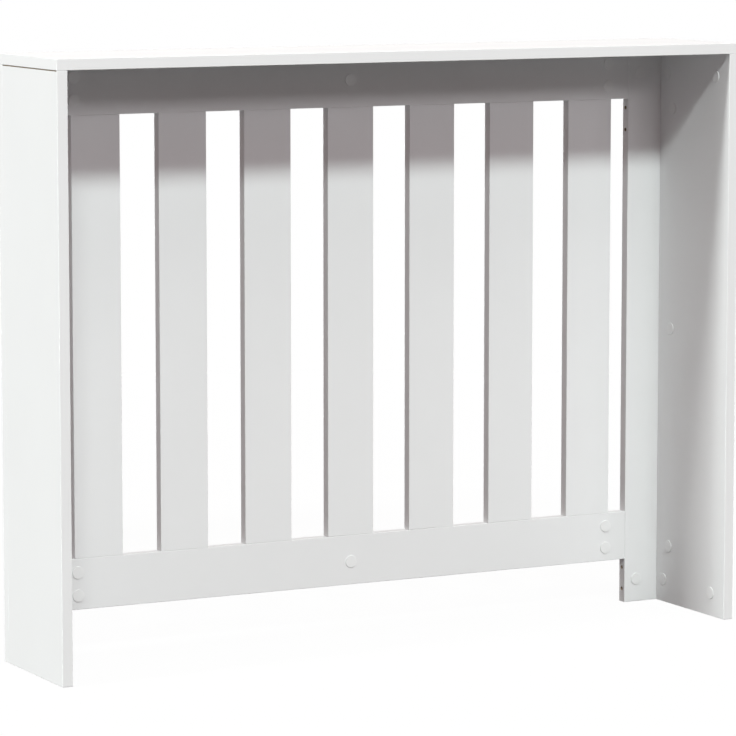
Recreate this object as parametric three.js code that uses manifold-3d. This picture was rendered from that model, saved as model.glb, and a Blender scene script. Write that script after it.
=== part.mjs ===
// Radiator cover cabinet: a flat-pack case of plain white boards that stands over a radiator.
// A top board lies on two side panels. A slatted front of two stiles, two rails and upright slats
// stands before them. The back and the underside are open, so that warm air can pass.
//
// Millimetres, +Z up. The origin is on the floor, under the middle of the case.
// The slatted front faces -Y, the open back faces +Y, and "left" is -X, as seen from the room.

import * as THREE from 'three';
import { mergeVertices } from 'three/addons/utils/BufferGeometryUtils.js';
import Module from 'manifold-3d';

const wasm = await Module();
wasm.setup();

// ---------------------------------------------------------------- driving dimensions

const WIDTH = 1050; // overall, along X
const DEPTH = 200; // overall, along Y
const HEIGHT = 830; // overall, along Z
const BOARD = 15; // thickness of every board

const STILE_WIDTH = 70; // upright board at each end of the front
const RAIL_WIDTH = 71; // level boards above and below the slats
const FOOT_GAP = 65; // air gap between the floor and the bottom rail
const SLAT_COUNT = 7;
const SLAT_WIDTH = 72;

// Cam connectors: a cam sits in a round bore in one board's face, and grips a bolt that is screwed
// into the next board. Setbacks run from the board's edge to the cam's centre.
const CAM_DIAMETER = 15;
const CAM_SETBACK = 33.5;
const SLAT_CAM_SETBACK = 38; // of the cam that holds the middle slat
const CAM_FLOOR = 2.5; // wood left under a cam's bore
const CAM_FIT = 0.3; // play of a cam in its bore, all round
const SOCKET_DIAMETER = 6.6; // six-sided driver socket in the cam
const SOCKET_DEPTH = 3;

const BOLT_DIAMETER = 6.6; // plain shank, in the cam's board
const BOLT_BORE = 8;
const THREAD_DIAMETER = 4.2; // threaded end, in the next board
const THREAD_LENGTH = 10.5;
const PILOT_BORE = 5;
const PILOT_DEPTH = 12; // in the stiles, the slat and the top board
const SHOULDER_GAP = 0.3; // between a shank's end and the next board

// Places of the cams
const SIDE_CAM_INSET = 84.5; // from each end of a side panel, for its stile
const FRONT_CAM_INSET = 20; // from a side panel's front edge, for the top board
const REAR_CAM_INSET = 36; // from a side panel's rear edge, for the top board
const STILE_CAM_INSET = 20; // from a stile's inner edge, for the top board
const RAIL_CAM_SPACING = 32; // between the two cams at each end of a rail

// Cover caps over the cams: a low button with a plug that clips into the driver socket
const CAP_DIAMETER = 17;
const CAP_RIM = 0.7; // height of the upright rim
const CAP_CROWN = 1.5; // height of the whole button
const CAP_SHOULDER = 2.2; // width of the sloped band inside the rim
const CAP_SEAT = 0.3; // between the button and the board
const CAP_PLUG_DIAMETER = 4.8;
const CAP_PLUG_LENGTH = 2.4;

// Wooden dowels, glued into the ends of the slats that have no cam
const DOWEL_DIAMETER = 8;
const DOWEL_REACH = 12; // how far a dowel stands out of its slat
const DOWEL_SPACING = 40;
const DOWEL_FIT = 0.4; // play of a dowel in its hole, all round
const DOWEL_END_ROOM = 1;

// Sides of the round forms
const CAM_SIDES = 14;
const BOLT_SIDES = 8;
const CAP_SIDES = 12;
const SOCKET_SIDES = 6;

// ---------------------------------------------------------------- sizes worked out from them

const PANEL_HEIGHT = HEIGHT - BOARD; // side panels and stiles, under the top board
const FRONT = -DEPTH / 2;
const REAR = DEPTH / 2;
const INNER = FRONT + BOARD; // rear face of the slatted front
const MID_FRONT = FRONT + BOARD / 2;
const OPENING = WIDTH - 2 * STILE_WIDTH; // between the stiles
const SLAT_PITCH = OPENING / SLAT_COUNT; // the end gaps are half as wide as the others
const RAIL_BOTTOMS = { bottom: FOOT_GAP, top: PANEL_HEIGHT - RAIL_WIDTH };
const SLAT_BOTTOM = RAIL_BOTTOMS.bottom + RAIL_WIDTH;
const SLAT_TOP = RAIL_BOTTOMS.top;
const MIDDLE_SLAT = Math.floor(SLAT_COUNT / 2);
const CAM_BORE_DEPTH = BOARD - CAM_FLOOR;
const MOUTH = 1; // how far a cutter stands out of the wood

const SIDES = { left: -1, right: 1 };
const UP = new THREE.Vector3(0, 0, 1);
const DOWN = new THREE.Vector3(0, 0, -1);
const FORWARD = new THREE.Vector3(0, -1, 0);
const BACK = new THREE.Vector3(0, 1, 0);
const outward = (side) => new THREE.Vector3(side, 0, 0);
const inward = (side) => new THREE.Vector3(-side, 0, 0);
const slatCentre = (i) => (i + 0.5) * SLAT_PITCH - OPENING / 2;
const mirrored = (z) => PANEL_HEIGHT - z; // the boards are drilled alike from both ends

// ---------------------------------------------------------------- materials

const painted = () => new THREE.MeshStandardMaterial({ color: 0xeef0ef, roughness: 0.5 });
const zinc = () => new THREE.MeshStandardMaterial({ color: 0xa9abac, roughness: 0.35, metalness: 1 });
const plastic = () => new THREE.MeshStandardMaterial({ color: 0xf1f2f1, roughness: 0.4 });

// ---------------------------------------------------------------- solids

function solid(geometry) {
  const bare = geometry.clone();
  bare.deleteAttribute('normal');
  bare.deleteAttribute('uv');
  const merged = mergeVertices(bare);
  const vertProperties = new Float32Array(merged.attributes.position.array);
  const triVerts = new Uint32Array(merged.index.array);
  return new wasm.Manifold(new wasm.Mesh({ numProp: 3, vertProperties, triVerts }));
}

function surface(shape) {
  const mesh = shape.getMesh();
  const geometry = new THREE.BufferGeometry();
  geometry.setAttribute('position', new THREE.BufferAttribute(mesh.vertProperties, 3));
  geometry.setIndex(new THREE.BufferAttribute(mesh.triVerts, 1));
  geometry.computeVertexNormals();
  return geometry;
}

// A round bar from a point, along a direction
function rod(start, direction, length, diameter, sides) {
  const geometry = new THREE.CylinderGeometry(diameter / 2, diameter / 2, length, sides);
  const turn = new THREE.Quaternion().setFromUnitVectors(BACK, direction);
  geometry.translate(0, length / 2, 0);
  geometry.applyQuaternion(turn);
  geometry.translate(start.x, start.y, start.z);
  return solid(geometry);
}

// A hole drilled into a face, from a point on that face
function bore(mouth, direction, depth, diameter, sides) {
  const start = mouth.clone().addScaledVector(direction, -MOUTH);
  return rod(start, direction, depth + MOUTH, diameter, sides);
}

// ---------------------------------------------------------------- the joints between the boards

// One cam joint. face is where the cam's axis leaves its board, out points out of that face, and
// reach points from the cam to the next board. A joint with no next board is a spare one, at the
// end where its board could serve as well. Its bores are there, and it holds no connector.
function joint(name, board, next, face, out, reach, setback) {
  return { name, board, next, face, out, reach, setback };
}

function sideJoints(word) {
  const side = SIDES[word];
  const board = `side_panel_${word}`;
  const face = side * (WIDTH / 2 - BOARD);
  const stileHeights = [SIDE_CAM_INSET, PANEL_HEIGHT / 2, mirrored(SIDE_CAM_INSET)];
  const toStile = stileHeights.map((z, i) => {
    const at = new THREE.Vector3(face, INNER + CAM_SETBACK, z);
    return joint(`stile_${word}_${i + 1}`, board, `stile_${word}`, at, inward(side), FORWARD, CAM_SETBACK);
  });
  const topPlaces = { front: INNER + FRONT_CAM_INSET, rear: REAR - REAR_CAM_INSET };
  const toTop = Object.entries(topPlaces).flatMap(([place, y]) => {
    const high = new THREE.Vector3(face, y, mirrored(CAM_SETBACK));
    const low = new THREE.Vector3(face, y, CAM_SETBACK);
    return [
      joint(`top_${word}_${place}`, board, 'top_board', high, inward(side), UP, CAM_SETBACK),
      joint('spare', board, null, low, inward(side), DOWN, CAM_SETBACK),
    ];
  });
  return [...toStile, ...toTop];
}

function stileJoints(word) {
  const x = SIDES[word] * (OPENING / 2 + STILE_CAM_INSET);
  const board = `stile_${word}`;
  const high = new THREE.Vector3(x, INNER, mirrored(CAM_SETBACK));
  const low = new THREE.Vector3(x, INNER, CAM_SETBACK);
  return [
    joint(`top_${word}_stile`, board, 'top_board', high, BACK, UP, CAM_SETBACK),
    joint('spare', board, null, low, BACK, DOWN, CAM_SETBACK),
  ];
}

function railJoints(level) {
  const board = `${level}_rail`;
  const centre = RAIL_BOTTOMS[level] + RAIL_WIDTH / 2;
  const heights = { lower: centre - RAIL_CAM_SPACING / 2, upper: centre + RAIL_CAM_SPACING / 2 };
  const toStiles = Object.entries(SIDES).flatMap(([word, side]) =>
    Object.entries(heights).map(([place, z]) => {
      const at = new THREE.Vector3(side * (OPENING / 2 - CAM_SETBACK), INNER, z);
      const name = `${level}_rail_${word}_${place}`;
      return joint(name, board, `stile_${word}`, at, BACK, outward(side), CAM_SETBACK);
    }),
  );
  const towards = level === 'top' ? DOWN : UP;
  const edge = level === 'top' ? SLAT_TOP : SLAT_BOTTOM;
  const x = slatCentre(MIDDLE_SLAT);
  const at = new THREE.Vector3(x, INNER, edge - towards.z * SLAT_CAM_SETBACK);
  const slat = `slat_${MIDDLE_SLAT + 1}`;
  return [...toStiles, joint(`${level}_rail_slat`, board, slat, at, BACK, towards, SLAT_CAM_SETBACK)];
}

const joints = [
  ...Object.keys(SIDES).flatMap(sideJoints),
  ...Object.keys(SIDES).flatMap(stileJoints),
  ...Object.keys(RAIL_BOTTOMS).flatMap(railJoints),
];

// Where the bolt's axis crosses the cam's axis: half way through the board
const boltStart = (j) => j.face.clone().addScaledVector(j.out, -BOARD / 2);
const boardEdge = (j) => boltStart(j).addScaledVector(j.reach, j.setback);

// The bores of one joint in the board that holds its cam
function camBores(j) {
  const into = j.out.clone().negate();
  const fromEdge = j.reach.clone().negate();
  return [
    bore(j.face, into, CAM_BORE_DEPTH, CAM_DIAMETER + 2 * CAM_FIT, CAM_SIDES),
    bore(boardEdge(j), fromEdge, j.setback, BOLT_BORE, BOLT_SIDES),
  ];
}

const pilotBore = (j) => bore(boardEdge(j), j.reach, PILOT_DEPTH, PILOT_BORE, BOLT_SIDES);

function boresIn(board) {
  const cams = joints.filter((j) => j.board === board).flatMap(camBores);
  const pilots = joints.filter((j) => j.next === board).map(pilotBore);
  return [...cams, ...pilots];
}

// The stiles take the rails' bolts at either end, so each has the same holes once more, turned over
function turnedStileBores(word) {
  const fromRails = joints.filter((j) => j.next === `stile_${word}` && j.board.endsWith('_rail'));
  return fromRails.map((j) => {
    const mouth = boardEdge(j);
    mouth.z = mirrored(mouth.z);
    return bore(mouth, j.reach, PILOT_DEPTH, PILOT_BORE, BOLT_SIDES);
  });
}

// ---------------------------------------------------------------- dowels

const dowelPlaces = (i) => [-1, 1].map((half) => slatCentre(i) + (half * DOWEL_SPACING) / 2);
const dowelledSlats = [...Array(SLAT_COUNT).keys()].filter((i) => i !== MIDDLE_SLAT);

function dowelHoles(level) {
  const into = level === 'top' ? UP : DOWN;
  const edge = level === 'top' ? SLAT_TOP : SLAT_BOTTOM;
  const depth = DOWEL_REACH + DOWEL_END_ROOM;
  return dowelledSlats.flatMap(dowelPlaces).map((x) => {
    const mouth = new THREE.Vector3(x, MID_FRONT, edge);
    return bore(mouth, into, depth, DOWEL_DIAMETER + 2 * DOWEL_FIT, BOLT_SIDES);
  });
}

function dowels(i) {
  const ends = { top: [SLAT_TOP, UP], bottom: [SLAT_BOTTOM, DOWN] };
  return Object.values(ends).flatMap(([edge, direction]) =>
    dowelPlaces(i).map((x) => {
      const start = new THREE.Vector3(x, MID_FRONT, edge - direction.z * MOUTH);
      return rod(start, direction, DOWEL_REACH + MOUTH, DOWEL_DIAMETER, BOLT_SIDES);
    }),
  );
}

// ---------------------------------------------------------------- boards

// A board between two corners, with its bores cut and its dowels glued in
function board(name, low, high, bores, glued = []) {
  const size = new THREE.Vector3().subVectors(high, low);
  const centre = new THREE.Vector3().addVectors(high, low).divideScalar(2);
  const blank = new THREE.BoxGeometry(size.x, size.y, size.z);
  blank.translate(centre.x, centre.y, centre.z);
  const drilled = bores.reduce((wood, cutter) => wood.subtract(cutter), solid(blank));
  const finished = glued.reduce((wood, peg) => wood.add(peg), drilled);
  const geometry = surface(finished);
  geometry.translate(-centre.x, -centre.y, -centre.z);
  const mesh = new THREE.Mesh(geometry, painted());
  mesh.name = name;
  mesh.position.copy(centre);
  return mesh;
}

function topBoard() {
  const low = new THREE.Vector3(-WIDTH / 2, FRONT, PANEL_HEIGHT);
  const high = new THREE.Vector3(WIDTH / 2, REAR, HEIGHT);
  return board('top_board', low, high, boresIn('top_board'));
}

function sidePanel(word) {
  const name = `side_panel_${word}`;
  const faces = [SIDES[word] * (WIDTH / 2), SIDES[word] * (WIDTH / 2 - BOARD)];
  const low = new THREE.Vector3(Math.min(...faces), INNER, 0);
  const high = new THREE.Vector3(Math.max(...faces), REAR, PANEL_HEIGHT);
  return board(name, low, high, boresIn(name));
}

function stile(word) {
  const name = `stile_${word}`;
  const edges = [SIDES[word] * (WIDTH / 2), SIDES[word] * (OPENING / 2)];
  const low = new THREE.Vector3(Math.min(...edges), FRONT, 0);
  const high = new THREE.Vector3(Math.max(...edges), INNER, PANEL_HEIGHT);
  return board(name, low, high, [...boresIn(name), ...turnedStileBores(word)]);
}

function rail(level) {
  const name = `${level}_rail`;
  const bottom = RAIL_BOTTOMS[level];
  const low = new THREE.Vector3(-OPENING / 2, FRONT, bottom);
  const high = new THREE.Vector3(OPENING / 2, INNER, bottom + RAIL_WIDTH);
  return board(name, low, high, [...boresIn(name), ...dowelHoles(level)]);
}

function slat(i) {
  const name = `slat_${i + 1}`;
  const x = slatCentre(i);
  const low = new THREE.Vector3(x - SLAT_WIDTH / 2, FRONT, SLAT_BOTTOM);
  const high = new THREE.Vector3(x + SLAT_WIDTH / 2, INNER, SLAT_TOP);
  const glued = i === MIDDLE_SLAT ? [] : dowels(i);
  return board(name, low, high, boresIn(name), glued);
}

// ---------------------------------------------------------------- fittings

// Sets a fitting that was made with +Z out of the board's face and +X towards the next board
function place(mesh, j) {
  const across = new THREE.Vector3().crossVectors(j.out, j.reach);
  const frame = new THREE.Matrix4().makeBasis(j.reach, across, j.out);
  mesh.quaternion.setFromRotationMatrix(frame);
  mesh.position.copy(j.face);
  return mesh;
}

// The cam and its bolt, locked together. The shank stops just short of the next board, and the
// thread goes on into it.
function connector(j) {
  const camTop = new THREE.Vector3(0, 0, -CAM_FIT);
  const camHeight = CAM_BORE_DEPTH - 2 * CAM_FIT;
  const cam = rod(camTop, DOWN, camHeight, CAM_DIAMETER, CAM_SIDES);
  const socket = bore(camTop, DOWN, SOCKET_DEPTH, SOCKET_DIAMETER, SOCKET_SIDES);
  const shoulder = j.setback - SHOULDER_GAP;
  const profile = [
    new THREE.Vector2(0, 0),
    new THREE.Vector2(BOLT_DIAMETER / 2, 0),
    new THREE.Vector2(BOLT_DIAMETER / 2, shoulder),
    new THREE.Vector2(THREAD_DIAMETER / 2, shoulder),
    new THREE.Vector2(THREAD_DIAMETER / 2, j.setback + THREAD_LENGTH),
    new THREE.Vector2(0, j.setback + THREAD_LENGTH),
  ];
  const bolt = new THREE.LatheGeometry(profile, BOLT_SIDES);
  bolt.rotateZ(-Math.PI / 2);
  bolt.translate(0, 0, -BOARD / 2);
  const mesh = new THREE.Mesh(surface(cam.subtract(socket).add(solid(bolt))), zinc());
  mesh.name = `connector_${j.name}`;
  return place(mesh, j);
}

function coverCap(j) {
  const radius = CAP_DIAMETER / 2;
  const plug = CAP_PLUG_DIAMETER / 2;
  const profile = [
    new THREE.Vector2(0, -CAP_PLUG_LENGTH),
    new THREE.Vector2(plug, -CAP_PLUG_LENGTH),
    new THREE.Vector2(plug, CAP_SEAT),
    new THREE.Vector2(radius, CAP_SEAT),
    new THREE.Vector2(radius, CAP_SEAT + CAP_RIM),
    new THREE.Vector2(radius - CAP_SHOULDER, CAP_CROWN),
    new THREE.Vector2(0, CAP_CROWN),
  ];
  const geometry = new THREE.LatheGeometry(profile, CAP_SIDES);
  geometry.rotateX(Math.PI / 2);
  const mesh = new THREE.Mesh(surface(solid(geometry)), plastic());
  mesh.name = `cap_${j.name}`;
  return place(mesh, j);
}

// ---------------------------------------------------------------- assembly

const usedJoints = joints.filter((j) => j.next !== null);

const cabinet = new THREE.Group();
cabinet.name = 'radiator_cover_cabinet';
cabinet.add(topBoard());
cabinet.add(...Object.keys(SIDES).map(sidePanel));
cabinet.add(...Object.keys(SIDES).map(stile));
cabinet.add(...Object.keys(RAIL_BOTTOMS).map(rail));
cabinet.add(...[...Array(SLAT_COUNT).keys()].map(slat));
cabinet.add(...usedJoints.map(connector));
cabinet.add(...usedJoints.map(coverCap));

export default cabinet;
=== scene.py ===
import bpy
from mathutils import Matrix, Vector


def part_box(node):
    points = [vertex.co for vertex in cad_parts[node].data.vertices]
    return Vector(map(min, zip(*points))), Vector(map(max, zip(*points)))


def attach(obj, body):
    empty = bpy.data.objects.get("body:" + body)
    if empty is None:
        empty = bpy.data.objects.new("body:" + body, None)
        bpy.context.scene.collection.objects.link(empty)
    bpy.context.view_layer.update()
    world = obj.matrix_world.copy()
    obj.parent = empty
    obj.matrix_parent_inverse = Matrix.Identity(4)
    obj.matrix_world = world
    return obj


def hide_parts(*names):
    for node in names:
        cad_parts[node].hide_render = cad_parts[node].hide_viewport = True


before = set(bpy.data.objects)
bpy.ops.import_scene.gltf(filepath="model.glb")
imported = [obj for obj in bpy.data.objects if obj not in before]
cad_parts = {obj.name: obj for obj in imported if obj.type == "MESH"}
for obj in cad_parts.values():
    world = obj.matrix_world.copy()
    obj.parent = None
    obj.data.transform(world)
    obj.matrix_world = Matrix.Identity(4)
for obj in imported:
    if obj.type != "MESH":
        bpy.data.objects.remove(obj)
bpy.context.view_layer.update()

import copy
import math

import bpy
from mathutils import Matrix, Vector

bl_info = {
    "name": "Radiator Cover Cabinet",
    "version": (1, 0, 0),
    "blender": (4, 5, 0),
    "location": "View3D > Sidebar > Cabinet",
    "description": "Dresses the boards and fittings of a flat-pack radiator cover cabinet",
    "category": "Object",
}

MM = 0.001
UP = Vector((0.0, 0.0, 1.0))

OVERSHOOT = 1 * MM  # how far a cutter runs past the surface that it cuts
SMOOTH_ANGLE = math.radians(35)  # edges blunter than this are shaded smooth
WIDE_FACE_LEAN = 0.8  # least share of a normal along a board's thin axis on its two wide faces

SIDES = ("left", "right")
LEVELS = ("bottom", "top")
SLATS = sorted(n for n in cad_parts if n.startswith("slat_"))
MIDDLE_SLAT = SLATS[len(SLATS) // 2]
DOWELLED_SLATS = [n for n in SLATS if n != MIDDLE_SLAT]
JOINTS = sorted(n[len("cap_"):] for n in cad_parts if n.startswith("cap_"))


# ---------------------------------------------------------------- sizes and colours


class BoardSettings(bpy.types.PropertyGroup):
    edge_radius: bpy.props.FloatProperty(
        name="Edge Radius", description="Rounding of a board's long edges",
        default=0.7 * MM, unit="LENGTH",
    )
    bore_chamfer: bpy.props.FloatProperty(
        name="Bore Chamfer", description="Width of the broken edge round a bore",
        default=0.25 * MM, unit="LENGTH",
    )
    gap_height: bpy.props.FloatProperty(
        name="Gap Height",
        description="Of the shadow gap between a side panel's outer face and the top board",
        default=1.3 * MM, unit="LENGTH",
    )
    gap_depth: bpy.props.FloatProperty(
        name="Gap Depth", description="How far the shadow gap goes into a side panel",
        default=3 * MM, unit="LENGTH",
    )
    face_colour: bpy.props.FloatVectorProperty(
        name="Face Colour", description="White foil on a board's faces", subtype="COLOR", size=3,
        default=(0.795, 0.8, 0.805),
    )
    edge_colour: bpy.props.FloatVectorProperty(
        name="Edge Colour", description="White band on a board's edges", subtype="COLOR", size=3,
        default=(0.8, 0.805, 0.81),
    )
    core_colour: bpy.props.FloatVectorProperty(
        name="Core Colour", description="Wood-based core that shows inside a bore",
        subtype="COLOR", size=3, default=(0.36, 0.28, 0.2),
    )


class FittingSettings(bpy.types.PropertyGroup):
    cam_bore: bpy.props.FloatProperty(
        name="Cam Bore", description="Diameter of the bore that holds a cam",
        default=15.6 * MM, unit="LENGTH",
    )
    cam_depth: bpy.props.FloatProperty(
        name="Cam Bore Depth", description="Depth of the bore that holds a cam",
        default=12.5 * MM, unit="LENGTH",
    )
    bolt_bore: bpy.props.FloatProperty(
        name="Bolt Bore", description="Diameter of the bore that a bolt passes through",
        default=8 * MM, unit="LENGTH",
    )
    pilot_bore: bpy.props.FloatProperty(
        name="Pilot Bore", description="Diameter of the bore that a bolt is screwed into",
        default=5 * MM, unit="LENGTH",
    )
    pilot_depth: bpy.props.FloatProperty(
        name="Pilot Depth", description="Depth of the bore that a bolt is screwed into",
        default=12 * MM, unit="LENGTH",
    )
    metal_colour: bpy.props.FloatVectorProperty(
        name="Metal Colour", description="Bright zinc of the cams and bolts", subtype="COLOR", size=3,
        default=(0.6, 0.61, 0.63),
    )


class CapSettings(bpy.types.PropertyGroup):
    diameter: bpy.props.FloatProperty(
        name="Diameter", description="Across a cover cap", default=17 * MM, unit="LENGTH",
    )
    crown: bpy.props.FloatProperty(
        name="Crown", description="How far a cap stands out of its board",
        default=1.2 * MM, unit="LENGTH",
    )
    rounding: bpy.props.FloatProperty(
        name="Rounding", description="Of the edge between a cap's rim and its top",
        default=0.15 * MM, unit="LENGTH",
    )
    seat: bpy.props.FloatProperty(
        name="Seat", description="Shadow gap under a cap's rim", default=0.1 * MM, unit="LENGTH",
    )
    colour: bpy.props.FloatVectorProperty(
        name="Colour", description="White plastic of the caps", subtype="COLOR", size=3,
        default=(0.805, 0.81, 0.81),
    )


class DowelSettings(bpy.types.PropertyGroup):
    diameter: bpy.props.FloatProperty(
        name="Diameter", description="Across a wooden dowel", default=8 * MM, unit="LENGTH",
    )
    spacing: bpy.props.FloatProperty(
        name="Spacing", description="Between the two dowels in a slat's end",
        default=40 * MM, unit="LENGTH",
    )
    play: bpy.props.FloatProperty(
        name="Play", description="Room round a dowel in its hole", default=0.4 * MM, unit="LENGTH",
    )
    colour: bpy.props.FloatVectorProperty(
        name="Colour", description="Pale turned beech", subtype="COLOR", size=3,
        default=(0.56, 0.38, 0.22),
    )


class StageSettings(bpy.types.PropertyGroup):
    camera_place: bpy.props.FloatVectorProperty(
        name="Camera Place", description="Where the camera stands", subtype="TRANSLATION", size=3,
        default=(2.5413, 4.8252, 1.0678),
    )
    camera_heading: bpy.props.FloatProperty(
        name="Camera Heading", description="Turn from the case's depth axis",
        default=0.4820, subtype="ANGLE",
    )
    camera_tilt: bpy.props.FloatProperty(
        name="Camera Tilt", description="How far the camera looks down",
        default=0.1246, subtype="ANGLE",
    )
    focal_length: bpy.props.FloatProperty(
        name="Focal Length", description="Of the lens, on a 36 mm sensor", default=192.8,
    )
    lamp_distance: bpy.props.FloatProperty(
        name="Lamp Distance", description="From the case to each lamp", default=24.0, unit="LENGTH",
    )
    ambient: bpy.props.FloatVectorProperty(
        name="Ambient", description="Faint warm light from all round, which tints the shadows",
        subtype="COLOR", size=3, default=(0.25, 0.15, 0.15),
    )
    floor_bounce: bpy.props.FloatProperty(
        name="Floor Bounce", description="Share of the light that the floor throws back up",
        default=0.1,
    )
    backdrop: bpy.props.FloatVectorProperty(
        name="Backdrop", description="Colour of the floor and of the distance", subtype="COLOR", size=3,
        default=(1.0, 1.0, 1.0),
    )


def sizes(group):
    """The scene's settings of one group."""
    return getattr(bpy.context.scene, group)


# ---------------------------------------------------------------- materials


def new_material(name):
    """A new material with its nodes, links and main shader."""
    material = bpy.data.materials.new(name)
    material.use_nodes = True
    nodes = material.node_tree.nodes
    return material, nodes, material.node_tree.links, nodes["Principled BSDF"]


def texture(nodes, links, kind, scale, **values):
    """A texture on the piece's own coordinates. Scale counts features per metre."""
    place = nodes.new("ShaderNodeTexCoord")
    made = nodes.new(kind)
    made.inputs["Scale"].default_value = scale
    for key, value in values.items():
        made.inputs[key].default_value = value
    links.new(place.outputs["Object"], made.inputs["Vector"])
    return made


def spread(nodes, links, source, low, high):
    """Maps the range in which nearly all of a noise texture lies on to low..high."""
    noise_low, noise_high = 0.3, 0.7
    made = nodes.new("ShaderNodeMapRange")
    made.inputs["From Min"].default_value = noise_low
    made.inputs["From Max"].default_value = noise_high
    made.inputs["To Min"].default_value = low
    made.inputs["To Max"].default_value = high
    links.new(source, made.inputs["Value"])
    return made.outputs["Result"]


def shaded(nodes, links, colour, source, depth):
    """The colour, a little darker and lighter where the texture is low and high."""
    ramp = nodes.new("ShaderNodeMix")
    ramp.data_type = "RGBA"
    ramp.inputs["A"].default_value = (*[c * (1 - depth) for c in colour], 1)
    ramp.inputs["B"].default_value = (*[min(1, c * (1 + depth)) for c in colour], 1)
    links.new(spread(nodes, links, source, 0, 1), ramp.inputs["Factor"])
    return ramp.outputs["Result"]


def bumped(nodes, links, source, height):
    """Raises the surface by height, in metres, where the texture is high."""
    bump = nodes.new("ShaderNodeBump")
    bump.inputs["Strength"].default_value = 1.0
    bump.inputs["Distance"].default_value = height
    links.new(source, bump.inputs["Height"])
    return bump.outputs["Normal"]


def foil_material(name, colour, roughness, orange_peel):
    """White foil or band: a fine even grain, slow clouding and a soft sheen."""
    material, nodes, links, shader = new_material(name)
    play = 0.03
    cloud = texture(nodes, links, "ShaderNodeTexNoise", scale=9.0, Detail=3.0, Roughness=0.5)
    grain = texture(nodes, links, "ShaderNodeTexNoise", scale=650.0, Detail=2.0, Roughness=0.45)
    links.new(shaded(nodes, links, colour, cloud.outputs["Fac"], depth=0.008), shader.inputs["Base Color"])
    links.new(spread(nodes, links, cloud.outputs["Fac"], low=roughness - play, high=roughness + play),
              shader.inputs["Roughness"])
    links.new(bumped(nodes, links, grain.outputs["Fac"], height=orange_peel), shader.inputs["Normal"])
    shader.inputs["Specular IOR Level"].default_value = 0.12
    return material


def core_material(name, colour):
    """Wood-based board, as it shows inside a bore: pressed chips with darker gaps."""
    material, nodes, links, shader = new_material(name)
    chips = texture(nodes, links, "ShaderNodeTexVoronoi", scale=900.0)
    fibre = texture(nodes, links, "ShaderNodeTexNoise", scale=1800.0, Detail=4.0, Roughness=0.6)
    links.new(shaded(nodes, links, colour, fibre.outputs["Fac"], depth=0.22), shader.inputs["Base Color"])
    links.new(bumped(nodes, links, chips.outputs["Distance"], height=0.15 * MM), shader.inputs["Normal"])
    shader.inputs["Roughness"].default_value = 0.9
    return material


def plastic_material(name, colour):
    """Moulded white plastic: nearly even, with a faint moulding grain."""
    material, nodes, links, shader = new_material(name)
    cloud = texture(nodes, links, "ShaderNodeTexNoise", scale=60.0, Detail=2.0)
    grain = texture(nodes, links, "ShaderNodeTexNoise", scale=2600.0, Detail=2.0)
    links.new(shaded(nodes, links, colour, cloud.outputs["Fac"], depth=0.006), shader.inputs["Base Color"])
    links.new(spread(nodes, links, cloud.outputs["Fac"], low=0.32, high=0.4), shader.inputs["Roughness"])
    links.new(bumped(nodes, links, grain.outputs["Fac"], height=0.004 * MM), shader.inputs["Normal"])
    return material


def zinc_material(name, colour):
    """Cast and plated zinc: cloudy, with a fine cast skin."""
    material, nodes, links, shader = new_material(name)
    cloud = texture(nodes, links, "ShaderNodeTexNoise", scale=260.0, Detail=4.0, Roughness=0.6)
    skin = texture(nodes, links, "ShaderNodeTexNoise", scale=3200.0, Detail=2.0)
    links.new(shaded(nodes, links, colour, cloud.outputs["Fac"], depth=0.12), shader.inputs["Base Color"])
    links.new(spread(nodes, links, cloud.outputs["Fac"], low=0.28, high=0.5), shader.inputs["Roughness"])
    links.new(bumped(nodes, links, skin.outputs["Fac"], height=0.02 * MM), shader.inputs["Normal"])
    shader.inputs["Metallic"].default_value = 1.0
    return material


def beech_material(name, colour):
    """Turned beech: grain along the upright dowel, with short darker flecks."""
    material, nodes, links, shader = new_material(name)
    place = nodes.new("ShaderNodeTexCoord")
    stretch = nodes.new("ShaderNodeMapping")
    stretch.inputs["Scale"].default_value = (1.0, 1.0, 0.08)
    grain = nodes.new("ShaderNodeTexNoise")
    grain.inputs["Scale"].default_value = 1500.0
    grain.inputs["Detail"].default_value = 4.0
    links.new(place.outputs["Object"], stretch.inputs["Vector"])
    links.new(stretch.outputs["Vector"], grain.inputs["Vector"])
    links.new(shaded(nodes, links, colour, grain.outputs["Fac"], depth=0.18), shader.inputs["Base Color"])
    links.new(bumped(nodes, links, grain.outputs["Fac"], height=0.05 * MM), shader.inputs["Normal"])
    shader.inputs["Roughness"].default_value = 0.7
    return material


def board_materials():
    """The face foil, the edge band and the core, made once and shared by all the boards."""
    if "board_face" not in bpy.data.materials:
        look = sizes("cabinet_boards")
        foil_material("board_face", look.face_colour, roughness=0.5, orange_peel=0.006 * MM)
        foil_material("board_edge", look.edge_colour, roughness=0.46, orange_peel=0.004 * MM)
        core_material("board_core", look.core_colour)
    return [bpy.data.materials[n] for n in ("board_face", "board_edge", "board_core")]


# ---------------------------------------------------------------- modelling


def start_clean():
    """Object mode, with nothing selected."""
    if bpy.context.object is not None and bpy.context.object.mode != "OBJECT":
        bpy.ops.object.mode_set(mode="OBJECT")
    bpy.ops.object.select_all(action="DESELECT")


def make_active(piece):
    """Selects the piece alone and makes it the active one."""
    start_clean()
    piece.select_set(True)
    bpy.context.view_layer.objects.active = piece


def faces_up(face):
    return face.normal.z > 0.9


def faces_down(face):
    return face.normal.z < -0.9


def select_faces(piece, wanted):
    """In edit mode: selects only the faces that pass the test."""
    bpy.ops.mesh.select_mode(type="FACE")
    bpy.ops.mesh.select_all(action="DESELECT")
    bpy.ops.object.mode_set(mode="OBJECT")
    for face in piece.data.polygons:
        face.select = wanted(face)
    bpy.ops.object.mode_set(mode="EDIT")


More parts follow.
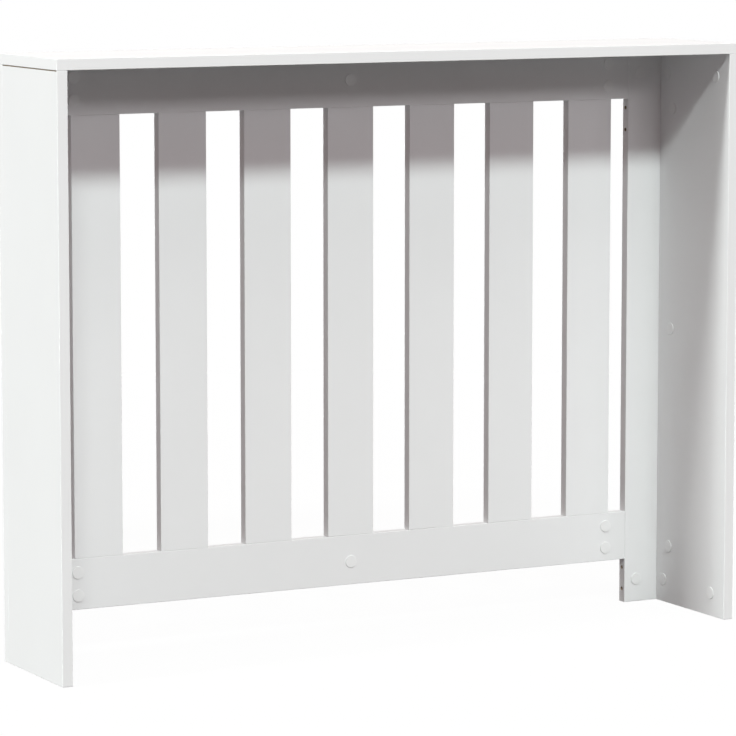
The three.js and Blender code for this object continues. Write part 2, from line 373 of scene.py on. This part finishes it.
def apply_place(piece):
    """Moves the piece's place, turn and size into its mesh."""
    make_active(piece)
    bpy.ops.object.transform_apply(location=True, rotation=True, scale=True)


def apply_modifier(piece, kind, **values):
    """Adds one modifier with these values and applies it."""
    make_active(piece)
    bpy.ops.object.modifier_add(type=kind)
    modifier = piece.modifiers[-1]
    for key, value in values.items():
        setattr(modifier, key, value)
    bpy.ops.object.modifier_apply(modifier=modifier.name)


def copied(master, name):
    """A copy with a mesh of its own."""
    piece = master.copy()
    piece.data = master.data.copy()
    piece.name = name
    piece.data.name = name
    bpy.context.scene.collection.objects.link(piece)
    return piece


def smooth(piece):
    """Shades the rounded edges smooth and keeps the flat faces flat."""
    make_active(piece)
    bpy.ops.object.shade_smooth_by_angle(angle=SMOOTH_ANGLE)
    apply_modifier(piece, "WEIGHTED_NORMAL", keep_sharp=True, weight=100)


def discard(piece):
    """Deletes a master or a cutter, with its mesh."""
    mesh = piece.data
    bpy.data.objects.remove(piece)
    bpy.data.meshes.remove(mesh)


def turn_to(direction):
    """Turns a thing made along +Z to point along a direction."""
    return UP.rotation_difference(direction).to_matrix().to_4x4()


def finish(piece, slot, *nodes):
    """Puts the piece on the root body and hides the CAD nodes that it replaces, if any. The slot is not
    used.
    """
    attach(piece, "root")
    if nodes:
        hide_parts(*nodes)


def thin_axis(size):
    return min(range(3), key=lambda i: size[i])


def long_axis(size):
    return max(range(3), key=lambda i: size[i])


# ---------------------------------------------------------------- bores


class Bore:
    """A round hole from a mouth on a board's surface, along a direction."""

    def __init__(self, mouth, direction, depth, diameter):
        self.mouth = mouth
        self.direction = direction
        self.depth = depth
        self.diameter = diameter


def bore_master(depth, diameter, chamfer):
    """A drill's shape along +Z from the origin. Its outer end flares, which breaks the hole's edge."""
    start_clean()
    shank = depth - chamfer
    radius = diameter / 2
    bpy.ops.mesh.primitive_cylinder_add(vertices=40, radius=radius, depth=shank,
                                        location=(0, 0, chamfer + shank / 2))
    cutter = bpy.context.active_object
    apply_place(cutter)
    bpy.ops.object.mode_set(mode="EDIT")
    select_faces(cutter, faces_down)
    reach = chamfer + OVERSHOOT
    flare = (radius + reach) / radius
    bpy.ops.mesh.extrude_region_move(TRANSFORM_OT_translate={"value": (0, 0, -reach)})
    bpy.ops.transform.resize(value=(flare, flare, 1), center_override=(0, 0, 0))
    bpy.ops.object.mode_set(mode="OBJECT")
    return cutter


def bore_copies(bores, chamfer):
    """The drill shapes of all the bores. Each size is modelled once and copied."""
    masters = {}
    copies = []
    for i, bore in enumerate(bores):
        size = (round(bore.depth, 6), round(bore.diameter, 6))
        if size not in masters:
            masters[size] = bore_master(bore.depth, bore.diameter, chamfer)
        cutter = copied(masters[size], f"cutter_{i}")
        cutter.matrix_world = Matrix.Translation(bore.mouth) @ turn_to(bore.direction)
        copies.append(cutter)
    for master in masters.values():
        discard(master)
    return copies


def box_piece(low, high):
    """A plain box between two corners."""
    start_clean()
    bpy.ops.mesh.primitive_cube_add(size=1.0, location=(low + high) / 2, scale=high - low)
    piece = bpy.context.active_object
    apply_place(piece)
    return piece


def cut(piece, cutters, material):
    """Takes the cutters out of the piece, and gives the cut surfaces the material."""
    make_active(cutters[0])
    for cutter in cutters:
        cutter.select_set(True)
    if len(cutters) > 1:
        bpy.ops.object.join()
    joined = bpy.context.active_object
    apply_place(joined)
    joined.data.materials.append(material)
    apply_modifier(piece, "BOOLEAN", operation="DIFFERENCE", solver="EXACT", use_self=True,
                   object=joined, material_mode="TRANSFER")
    discard(joined)


class CamJoint:
    """Where one cam connector sits, read from its cap and its connector in the frame."""

    def __init__(self, name):
        cap_low, cap_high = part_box("cap_" + name)
        low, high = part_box("connector_" + name)
        cap_middle = (cap_low + cap_high) / 2
        middle = (low + high) / 2
        thin = thin_axis(cap_high - cap_low)
        long = long_axis(high - low)
        self.out = Vector((0, 0, 0))
        self.out[thin] = 1.0 if thin == 1 else -math.copysign(1.0, cap_middle.x)
        self.reach = Vector((0, 0, 0))
        self.reach[long] = math.copysign(1.0, middle[long] - cap_middle[long])
        self.name = name
        self.board = holder_of(name)
        self.next = neighbour_of(name)
        board_low, board_high = board_box(self.board)
        self.thickness = min(board_high - board_low)
        self.face = cap_middle.copy()
        self.face[thin] = board_high[thin] if self.out[thin] > 0 else board_low[thin]
        edge = board_high[long] if self.reach[long] > 0 else board_low[long]
        self.setback = abs(edge - cap_middle[long])

    def turned_over(self):
        """The same joint at the board's other end, where nothing is fastened."""
        spare = copy.copy(self)
        low, high = board_box(self.board)
        spare.face = self.face.copy()
        spare.face.z = low.z + high.z - self.face.z
        spare.reach = self.reach.copy()
        spare.reach.z = -self.reach.z
        spare.name = self.name + "_spare"
        spare.next = None
        return spare

    def edge_mouth(self):
        """Where the bolt leaves the board that holds the cam."""
        return self.face - self.out * (self.thickness / 2) + self.reach * self.setback

    def cam_bores(self):
        """The bores in the board that holds the cam: the cam's own, and the bolt's through the edge."""
        fit = sizes("cabinet_fittings")
        cam = Bore(self.face, -self.out, fit.cam_depth, fit.cam_bore)
        bolt = Bore(self.edge_mouth(), -self.reach, self.setback, fit.bolt_bore)
        return [cam, bolt]

    def pilot(self):
        """The bore in the next board, which the bolt is screwed into."""
        fit = sizes("cabinet_fittings")
        return Bore(self.edge_mouth(), self.reach, fit.pilot_depth, fit.pilot_bore)


def holder_of(name):
    """The board that holds the cam of this joint."""
    words = name.split("_")
    if words[0] == "stile":
        return "side_panel_" + words[1]
    if words[1] == "rail":
        return words[0] + "_rail"
    if words[2] == "stile":
        return "stile_" + words[1]
    return "side_panel_" + words[1]


def neighbour_of(name):
    """The board that takes the bolt of this joint."""
    words = name.split("_")
    if words[0] == "stile":
        return "stile_" + words[1]
    if words[1] == "rail":
        return MIDDLE_SLAT if words[2] == "slat" else "stile_" + words[2]
    return "top_board"


def board_box(node):
    """The board's own corners: a slat's node also holds its dowels, which end inside the rails."""
    low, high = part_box(node)
    if node.startswith("slat_"):
        low.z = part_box("bottom_rail")[1].z
        high.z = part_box("top_rail")[0].z
    return low, high


def cam_joints():
    return [CamJoint(name) for name in JOINTS]


def spare_joints():
    """The unused drilling at the lower ends of the side panels and stiles."""
    return [j.turned_over() for j in cam_joints() if j.next == "top_board"]


def bores_in(node):
    """All the bores for cams and bolts in one board."""
    bores = []
    for joint in cam_joints() + spare_joints():
        if joint.board == node:
            bores += joint.cam_bores()
        if joint.next == node:
            bores.append(joint.pilot())
    return bores


# ---------------------------------------------------------------- boards


def board(node, bores, grooves=()):
    """A foil-covered board: a box with rounded edges, banded all round, drilled and grooved."""
    look = sizes("cabinet_boards")
    low, high = board_box(node)
    thin = thin_axis(high - low)
    piece = box_piece(low, high)
    piece.name = node + "_finished"
    piece.data.name = piece.name
    bpy.ops.object.mode_set(mode="EDIT")
    bpy.ops.mesh.select_all(action="SELECT")
    bpy.ops.mesh.bevel(offset=look.edge_radius, segments=3, affect="EDGES")
    bpy.ops.object.mode_set(mode="OBJECT")
    materials = board_materials()
    for material in materials:
        piece.data.materials.append(material)
    for face in piece.data.polygons:
        face.material_index = 0 if abs(face.normal[thin]) > WIDE_FACE_LEAN else 1
    cutters = bore_copies(bores, look.bore_chamfer) + [box_piece(*corners) for corners in grooves]
    if cutters:
        cut(piece, cutters, materials[2])
    smooth(piece)
    finish(piece, "white_board", node)


def dowel_places(node):
    """Where each of a slat's four dowels leaves it, in which direction, and how far it stands out."""
    low, high = board_box(node)
    spacing = sizes("cabinet_dowels").spacing
    middle = (low + high) / 2
    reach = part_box(node)[1].z - high.z
    places = []
    for half in (-0.5, 0.5):
        x = middle.x + half * spacing
        places.append((Vector((x, middle.y, high.z)), UP, reach))
        places.append((Vector((x, middle.y, low.z)), -UP, reach))
    return places


def dowel_bores(level):
    """The dowel holes in the bottom or top rail, a little deeper than the dowels."""
    end_room = 1 * MM
    look = sizes("cabinet_dowels")
    bores = []
    for node in DOWELLED_SLATS:
        for mouth, direction, reach in dowel_places(node):
            if (direction.z > 0) == (level == "top"):
                bores.append(Bore(mouth, direction, reach + end_room, look.diameter + 2 * look.play))
    return bores


class CABINET_OT_top_board(bpy.types.Operator):
    """Model the top board, with the bores for the bolts that hold it"""

    bl_idname = "cabinet.top_board"
    bl_label = "Top Board"

    def execute(self, context):
        board("top_board", bores_in("top_board"))
        return {"FINISHED"}


class CABINET_OT_side_panels(bpy.types.Operator):
    """Model the two side panels, drilled alike from both ends, with the shadow gap under the top board"""

    bl_idname = "cabinet.side_panels"
    bl_label = "Side Panels"

    def execute(self, context):
        look = sizes("cabinet_boards")
        rear_band = 0.8 * MM  # the rear edge's band, which closes the gap's end
        for word in SIDES:
            node = "side_panel_" + word
            low, high = board_box(node)
            inner, outer = low.copy(), high.copy()
            inner.y -= OVERSHOOT
            outer.y -= rear_band
            inner.z = high.z - look.gap_height
            outer.z += OVERSHOOT
            if word == "right":
                inner.x = high.x - look.gap_depth
                outer.x += OVERSHOOT
            else:
                inner.x -= OVERSHOOT
                outer.x = low.x + look.gap_depth
            board(node, bores_in(node), [(inner, outer)])
        return {"FINISHED"}


class CABINET_OT_stiles(bpy.types.Operator):
    """Model the front's two stiles, whose inner edges have a second set of holes for the rails' bolts"""

    bl_idname = "cabinet.stiles"
    bl_label = "Stiles"

    def execute(self, context):
        for word in SIDES:
            node = "stile_" + word
            low, high = board_box(node)
            bores = bores_in(node)
            for joint in cam_joints():
                if joint.next == node and joint.board.endswith("_rail"):
                    turned = joint.pilot()
                    turned.mouth.z = low.z + high.z - turned.mouth.z
                    bores.append(turned)
            board(node, bores)
        return {"FINISHED"}


class CABINET_OT_rails(bpy.types.Operator):
    """Model the front's two rails, with their dowel holes and cam bores"""

    bl_idname = "cabinet.rails"
    bl_label = "Rails"

    def execute(self, context):
        for level in LEVELS:
            node = level + "_rail"
            board(node, bores_in(node) + dowel_bores(level))
        return {"FINISHED"}


class CABINET_OT_slats(bpy.types.Operator):
    """Model the seven slats, of which the middle one is drilled for bolts"""

    bl_idname = "cabinet.slats"
    bl_label = "Slats"

    def execute(self, context):
        for node in SLATS:
            board(node, bores_in(node))
        return {"FINISHED"}


def dowel_master():
    """One dowel along +Z from the origin, with a chamfered tip and every other upright edge drawn in."""
    sides = 32
    tip_chamfer = 0.8 * MM
    flute_share = 0.93  # a flute's radius, as a share of the dowel's
    look = sizes("cabinet_dowels")
    _, _, reach = dowel_places(SLATS[0])[0]
    start_clean()
    bpy.ops.mesh.primitive_cylinder_add(vertices=sides, radius=look.diameter / 2, depth=reach,
                                        location=(0, 0, reach / 2))
    dowel = bpy.context.active_object
    apply_place(dowel)
    bpy.ops.object.mode_set(mode="EDIT")
    select_faces(dowel, faces_up)
    bpy.ops.mesh.bevel(offset=tip_chamfer, segments=1, affect="EDGES")
    bpy.ops.mesh.select_mode(type="VERT")
    bpy.ops.mesh.select_all(action="DESELECT")
    bpy.ops.object.mode_set(mode="OBJECT")
    for vertex in dowel.data.vertices:
        turn = round(math.atan2(vertex.co.y, vertex.co.x) / (2 * math.pi / sides))
        vertex.select = turn % 2 == 1
    bpy.ops.object.mode_set(mode="EDIT")
    bpy.ops.transform.resize(value=(flute_share, flute_share, 1), center_override=(0, 0, 0))
    bpy.ops.object.mode_set(mode="OBJECT")
    dowel.data.materials.append(beech_material("dowel_beech", look.colour))
    return dowel


class CABINET_OT_dowels(bpy.types.Operator):
    """Model one fluted dowel and copy it into the ends of the slats"""

    bl_idname = "cabinet.dowels"
    bl_label = "Dowels"

    def execute(self, context):
        master = dowel_master()
        for node in DOWELLED_SLATS:
            for i, (mouth, direction, _) in enumerate(dowel_places(node)):
                piece = copied(master, f"dowel_{node}_{i + 1}")
                piece.matrix_world = Matrix.Translation(mouth) @ turn_to(direction)
                apply_place(piece)
                finish(piece, "white_board")
        discard(master)
        return {"FINISHED"}


# ---------------------------------------------------------------- fittings


def cap_master():
    """One cover cap, facing +Z with its rim just above the origin and its plug below it."""
    dome = 0.08 * MM
    rounding_steps = (30, 60, 90)  # degrees round the edge between rim and top
    dome_rings = ((0.8, 0.45), (0.5, 0.85), (0.2, 1.0))  # shares of the radius and of the dome's height
    plug_radius = 2.4 * MM
    plug_depth = 2.4 * MM
    plug_tip = 0.5 * MM
    plug_taper = 0.8
    look = sizes("cabinet_caps")
    radius = look.diameter / 2
    rim = look.crown - look.seat - look.rounding - dome
    start_clean()
    bpy.ops.mesh.primitive_cylinder_add(vertices=64, radius=radius, depth=rim,
                                        location=(0, 0, look.seat + rim / 2))
    cap = bpy.context.active_object
    apply_place(cap)
    bpy.ops.object.mode_set(mode="EDIT")
    select_faces(cap, faces_up)
    rings = []
    for step in rounding_steps:
        turn = math.radians(step)
        rings.append((radius - look.rounding * (1 - math.cos(turn)), look.rounding * math.sin(turn)))
    for share, lift in dome_rings:
        rings.append((radius * share, look.rounding + dome * lift))
    across_before, height_before = radius, 0.0
    for across, height in rings:
        share = across / across_before
        bpy.ops.mesh.extrude_region_move(TRANSFORM_OT_translate={"value": (0, 0, height - height_before)})
        bpy.ops.transform.resize(value=(share, share, 1), center_override=(0, 0, 0))
        across_before, height_before = across, height
    select_faces(cap, faces_down)
    bpy.ops.mesh.inset(thickness=radius - plug_radius)
    bpy.ops.mesh.extrude_region_move(TRANSFORM_OT_translate={"value": (0, 0, -plug_depth)})
    bpy.ops.mesh.extrude_region_move(TRANSFORM_OT_translate={"value": (0, 0, -plug_tip)})
    bpy.ops.transform.resize(value=(plug_taper, plug_taper, 1), center_override=(0, 0, 0))
    bpy.ops.object.mode_set(mode="OBJECT")
    smooth(cap)
    cap.data.materials.append(plastic_material("cap_plastic", look.colour))
    return cap


class CABINET_OT_cover_caps(bpy.types.Operator):
    """Model one cover cap and copy it over every cam and every spare bore"""

    bl_idname = "cabinet.cover_caps"
    bl_label = "Cover Caps"

    def execute(self, context):
        master = cap_master()
        for joint in cam_joints() + spare_joints():
            spare = joint.next is None
            piece = copied(master, f"cap_{joint.name}" + ("" if spare else "_finished"))
            piece.matrix_world = Matrix.Translation(joint.face) @ turn_to(joint.out)
            apply_place(piece)
            finish(piece, "cap_plastic", *([] if spare else ["cap_" + joint.name]))
        discard(master)
        return {"FINISHED"}


class CABINET_OT_connectors(bpy.types.Operator):
    """Give the cams and bolts inside the boards their zinc finish"""

    bl_idname = "cabinet.connectors"
    bl_label = "Cams and Bolts"

    def execute(self, context):
        zinc = zinc_material("connector_zinc", sizes("cabinet_fittings").metal_colour)
        for name in JOINTS:
            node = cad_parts["connector_" + name]
            for slot in node.material_slots:
                slot.material = zinc
        return {"FINISHED"}


# ---------------------------------------------------------------- stage


def lamp(name, azimuth, elevation, width, height, power, tint):
    """A far soft box that looks at the case. Azimuth 0 faces the slatted front, 90 is at +X."""
    middle = Vector((0.0, 0.0, 0.42))
    a = math.radians(azimuth)
    e = math.radians(elevation)
    away = Vector((math.sin(a) * math.cos(e), -math.cos(a) * math.cos(e), math.sin(e)))
    data = bpy.data.lights.new(name, "AREA")
    data.shape = "RECTANGLE"
    data.size = width
    data.size_y = height
    data.energy = power
    data.color = tint
    made = bpy.data.objects.new(name, data)
    made.location = middle + away * sizes("cabinet_stage").lamp_distance
    made.rotation_euler = away.to_track_quat("Z", "Y").to_euler()
    made.visible_camera = False
    bpy.context.scene.collection.objects.link(made)


def direct_rays(nodes, links):
    """1 where a ray comes straight from the camera, or by way of metal or glass."""
    path = nodes.new("ShaderNodeLightPath")
    result = path.outputs["Is Camera Ray"]
    for ray in ("Is Glossy Ray", "Is Transmission Ray"):
        either = nodes.new("ShaderNodeMath")
        either.operation = "MAXIMUM"
        links.new(result, either.inputs[0])
        links.new(path.outputs[ray], either.inputs[1])
        result = either.outputs[0]
    return result


def floor_material(colour, bounce):
    """Pale floor that takes the case's shadow, shows white and throws little light back up."""
    tone_seen = 0.8
    near, far = 1.0, 3.0  # metres from the case, between which the floor fades to full white
    near_white = 0.96
    material = bpy.data.materials.new("stage_floor")
    material.use_nodes = True
    nodes = material.node_tree.nodes
    links = material.node_tree.links
    nodes.clear()
    direct = direct_rays(nodes, links)
    tone = nodes.new("ShaderNodeMix")
    tone.data_type = "RGBA"
    tone.inputs["A"].default_value = (*[c * bounce for c in colour], 1)
    tone.inputs["B"].default_value = (*[c * tone_seen for c in colour], 1)
    matt = nodes.new("ShaderNodeBsdfDiffuse")
    white = nodes.new("ShaderNodeEmission")
    white.inputs["Color"].default_value = (*colour, 1)
    white.inputs["Strength"].default_value = 1.0
    place = nodes.new("ShaderNodeTexCoord")
    away = nodes.new("ShaderNodeVectorMath")
    away.operation = "LENGTH"
    glow = nodes.new("ShaderNodeMapRange")
    glow.inputs["From Min"].default_value = near
    glow.inputs["From Max"].default_value = far
    glow.inputs["To Min"].default_value = near_white
    glow.inputs["To Max"].default_value = 1.0
    share = nodes.new("ShaderNodeMath")
    share.operation = "MULTIPLY"
    mix = nodes.new("ShaderNodeMixShader")
    out = nodes.new("ShaderNodeOutputMaterial")
    links.new(direct, tone.inputs["Factor"])
    links.new(tone.outputs["Result"], matt.inputs["Color"])
    links.new(place.outputs["Object"], away.inputs[0])
    links.new(away.outputs["Value"], glow.inputs["Value"])
    links.new(direct, share.inputs[0])
    links.new(glow.outputs["Result"], share.inputs[1])
    links.new(share.outputs[0], mix.inputs["Fac"])
    links.new(matt.outputs[0], mix.inputs[1])
    links.new(white.outputs[0], mix.inputs[2])
    links.new(mix.outputs[0], out.inputs["Surface"])
    return material


def pale_world(colour, ambient):
    """Faint even light from all round, where the camera sees a white distance."""
    world = bpy.data.worlds.new("stage_world")
    world.use_nodes = True
    nodes = world.node_tree.nodes
    links = world.node_tree.links
    tone = nodes.new("ShaderNodeMix")
    tone.data_type = "RGBA"
    tone.inputs["A"].default_value = (*ambient, 1)
    tone.inputs["B"].default_value = (*colour, 1)
    links.new(direct_rays(nodes, links), tone.inputs["Factor"])
    links.new(tone.outputs["Result"], nodes["Background"].inputs["Color"])
    bpy.context.scene.world = world


class CABINET_OT_stage(bpy.types.Operator):
    """Lay the floor, set the lamps and place the camera"""

    bl_idname = "cabinet.stage"
    bl_label = "Floor, Light and Camera"

    def execute(self, context):
        floor_width = 80.0
        floor_drop = 0.5 * MM  # keeps the floor's plane clear of the case's feet
        view_depth = 200.0
        sensor_width = 36.0
        look = sizes("cabinet_stage")
        scene = context.scene
        start_clean()
        bpy.ops.mesh.primitive_plane_add(size=floor_width, location=(0, 0, -floor_drop))
        floor = bpy.context.active_object
        floor.name = "stage_floor"
        floor.data.materials.append(floor_material(look.backdrop, look.floor_bounce))
        pale_world(look.backdrop, look.ambient)
        lamp("lamp_key_back", azimuth=180, elevation=41.4, width=5.5, height=2.4, power=1690,
             tint=(0.88, 1.0, 0.965))
        lamp("lamp_key_right", azimuth=156.5, elevation=38.7, width=6.0, height=1.8, power=2550,
             tint=(0.94, 1.0, 0.985))
        lamp("lamp_high", azimuth=165, elevation=63, width=8.0, height=8.8, power=760,
             tint=(0.95, 1.0, 0.97))
        lamp("lamp_low", azimuth=195.5, elevation=19, width=13.4, height=2.8, power=1225,
             tint=(1.0, 0.98, 1.0))
        lamp("lamp_side", azimuth=94.5, elevation=36, width=1.8, height=5.2, power=2740,
             tint=(0.97, 1.0, 0.98))
        lamp("lamp_fill", azimuth=90, elevation=11, width=2.0, height=11.0, power=2440,
             tint=(0.9, 1.0, 0.98))
        lamp("lamp_front", azimuth=0, elevation=1, width=1.6, height=1.2, power=4800,
             tint=(0.93, 1.0, 0.99))
        lamp("lamp_left", azimuth=270, elevation=1, width=1.6, height=1.2, power=4600,
             tint=(0.93, 1.0, 0.99))

        data = bpy.data.cameras.new("photo_camera")
        data.sensor_width = sensor_width
        data.lens = look.focal_length
        data.clip_end = view_depth
        camera = bpy.data.objects.new("photo_camera", data)
        scene.collection.objects.link(camera)
        tilt = math.radians(90) - look.camera_tilt
        camera.rotation_euler = (tilt, 0.0, math.pi - look.camera_heading)
        camera.location = look.camera_place
        scene.camera = camera
        scene.view_settings.view_transform = "Standard"
        return {"FINISHED"}


# ---------------------------------------------------------------- panel and registration


class CABINET_PT_panel(bpy.types.Panel):
    """Lists the pieces of the cabinet"""

    bl_idname = "CABINET_PT_panel"
    bl_label = "Radiator Cover Cabinet"
    bl_space_type = "VIEW_3D"
    bl_region_type = "UI"
    bl_category = "Cabinet"

    def draw(self, context):
        for operator in OPERATORS:
            self.layout.operator(operator.bl_idname)
        for group in GROUPS:
            box = self.layout.box()
            settings = getattr(context.scene, group)
            for key in settings.bl_rna.properties.keys():
                if key not in {"rna_type", "name"}:
                    box.prop(settings, key)


OPERATORS = (
    CABINET_OT_top_board,
    CABINET_OT_side_panels,
    CABINET_OT_stiles,
    CABINET_OT_rails,
    CABINET_OT_slats,
    CABINET_OT_dowels,
    CABINET_OT_connectors,
    CABINET_OT_cover_caps,
    CABINET_OT_stage,
)

GROUPS = {
    "cabinet_boards": BoardSettings,
    "cabinet_fittings": FittingSettings,
    "cabinet_caps": CapSettings,
    "cabinet_dowels": DowelSettings,
    "cabinet_stage": StageSettings,
}


def register():
    for cls in (*GROUPS.values(), *OPERATORS, CABINET_PT_panel):
        bpy.utils.register_class(cls)
    for group, cls in GROUPS.items():
        setattr(bpy.types.Scene, group, bpy.props.PointerProperty(type=cls))


def unregister():
    for group in GROUPS:
        delattr(bpy.types.Scene, group)
    for cls in reversed((*GROUPS.values(), *OPERATORS, CABINET_PT_panel)):
        bpy.utils.unregister_class(cls)


def main():
    register()
    bpy.ops.cabinet.top_board()
    bpy.ops.cabinet.side_panels()
    bpy.ops.cabinet.stiles()
    bpy.ops.cabinet.rails()
    bpy.ops.cabinet.slats()
    bpy.ops.cabinet.dowels()
    bpy.ops.cabinet.connectors()
    bpy.ops.cabinet.cover_caps()
    bpy.ops.cabinet.stage()


if __name__ == "__main__":
    main()
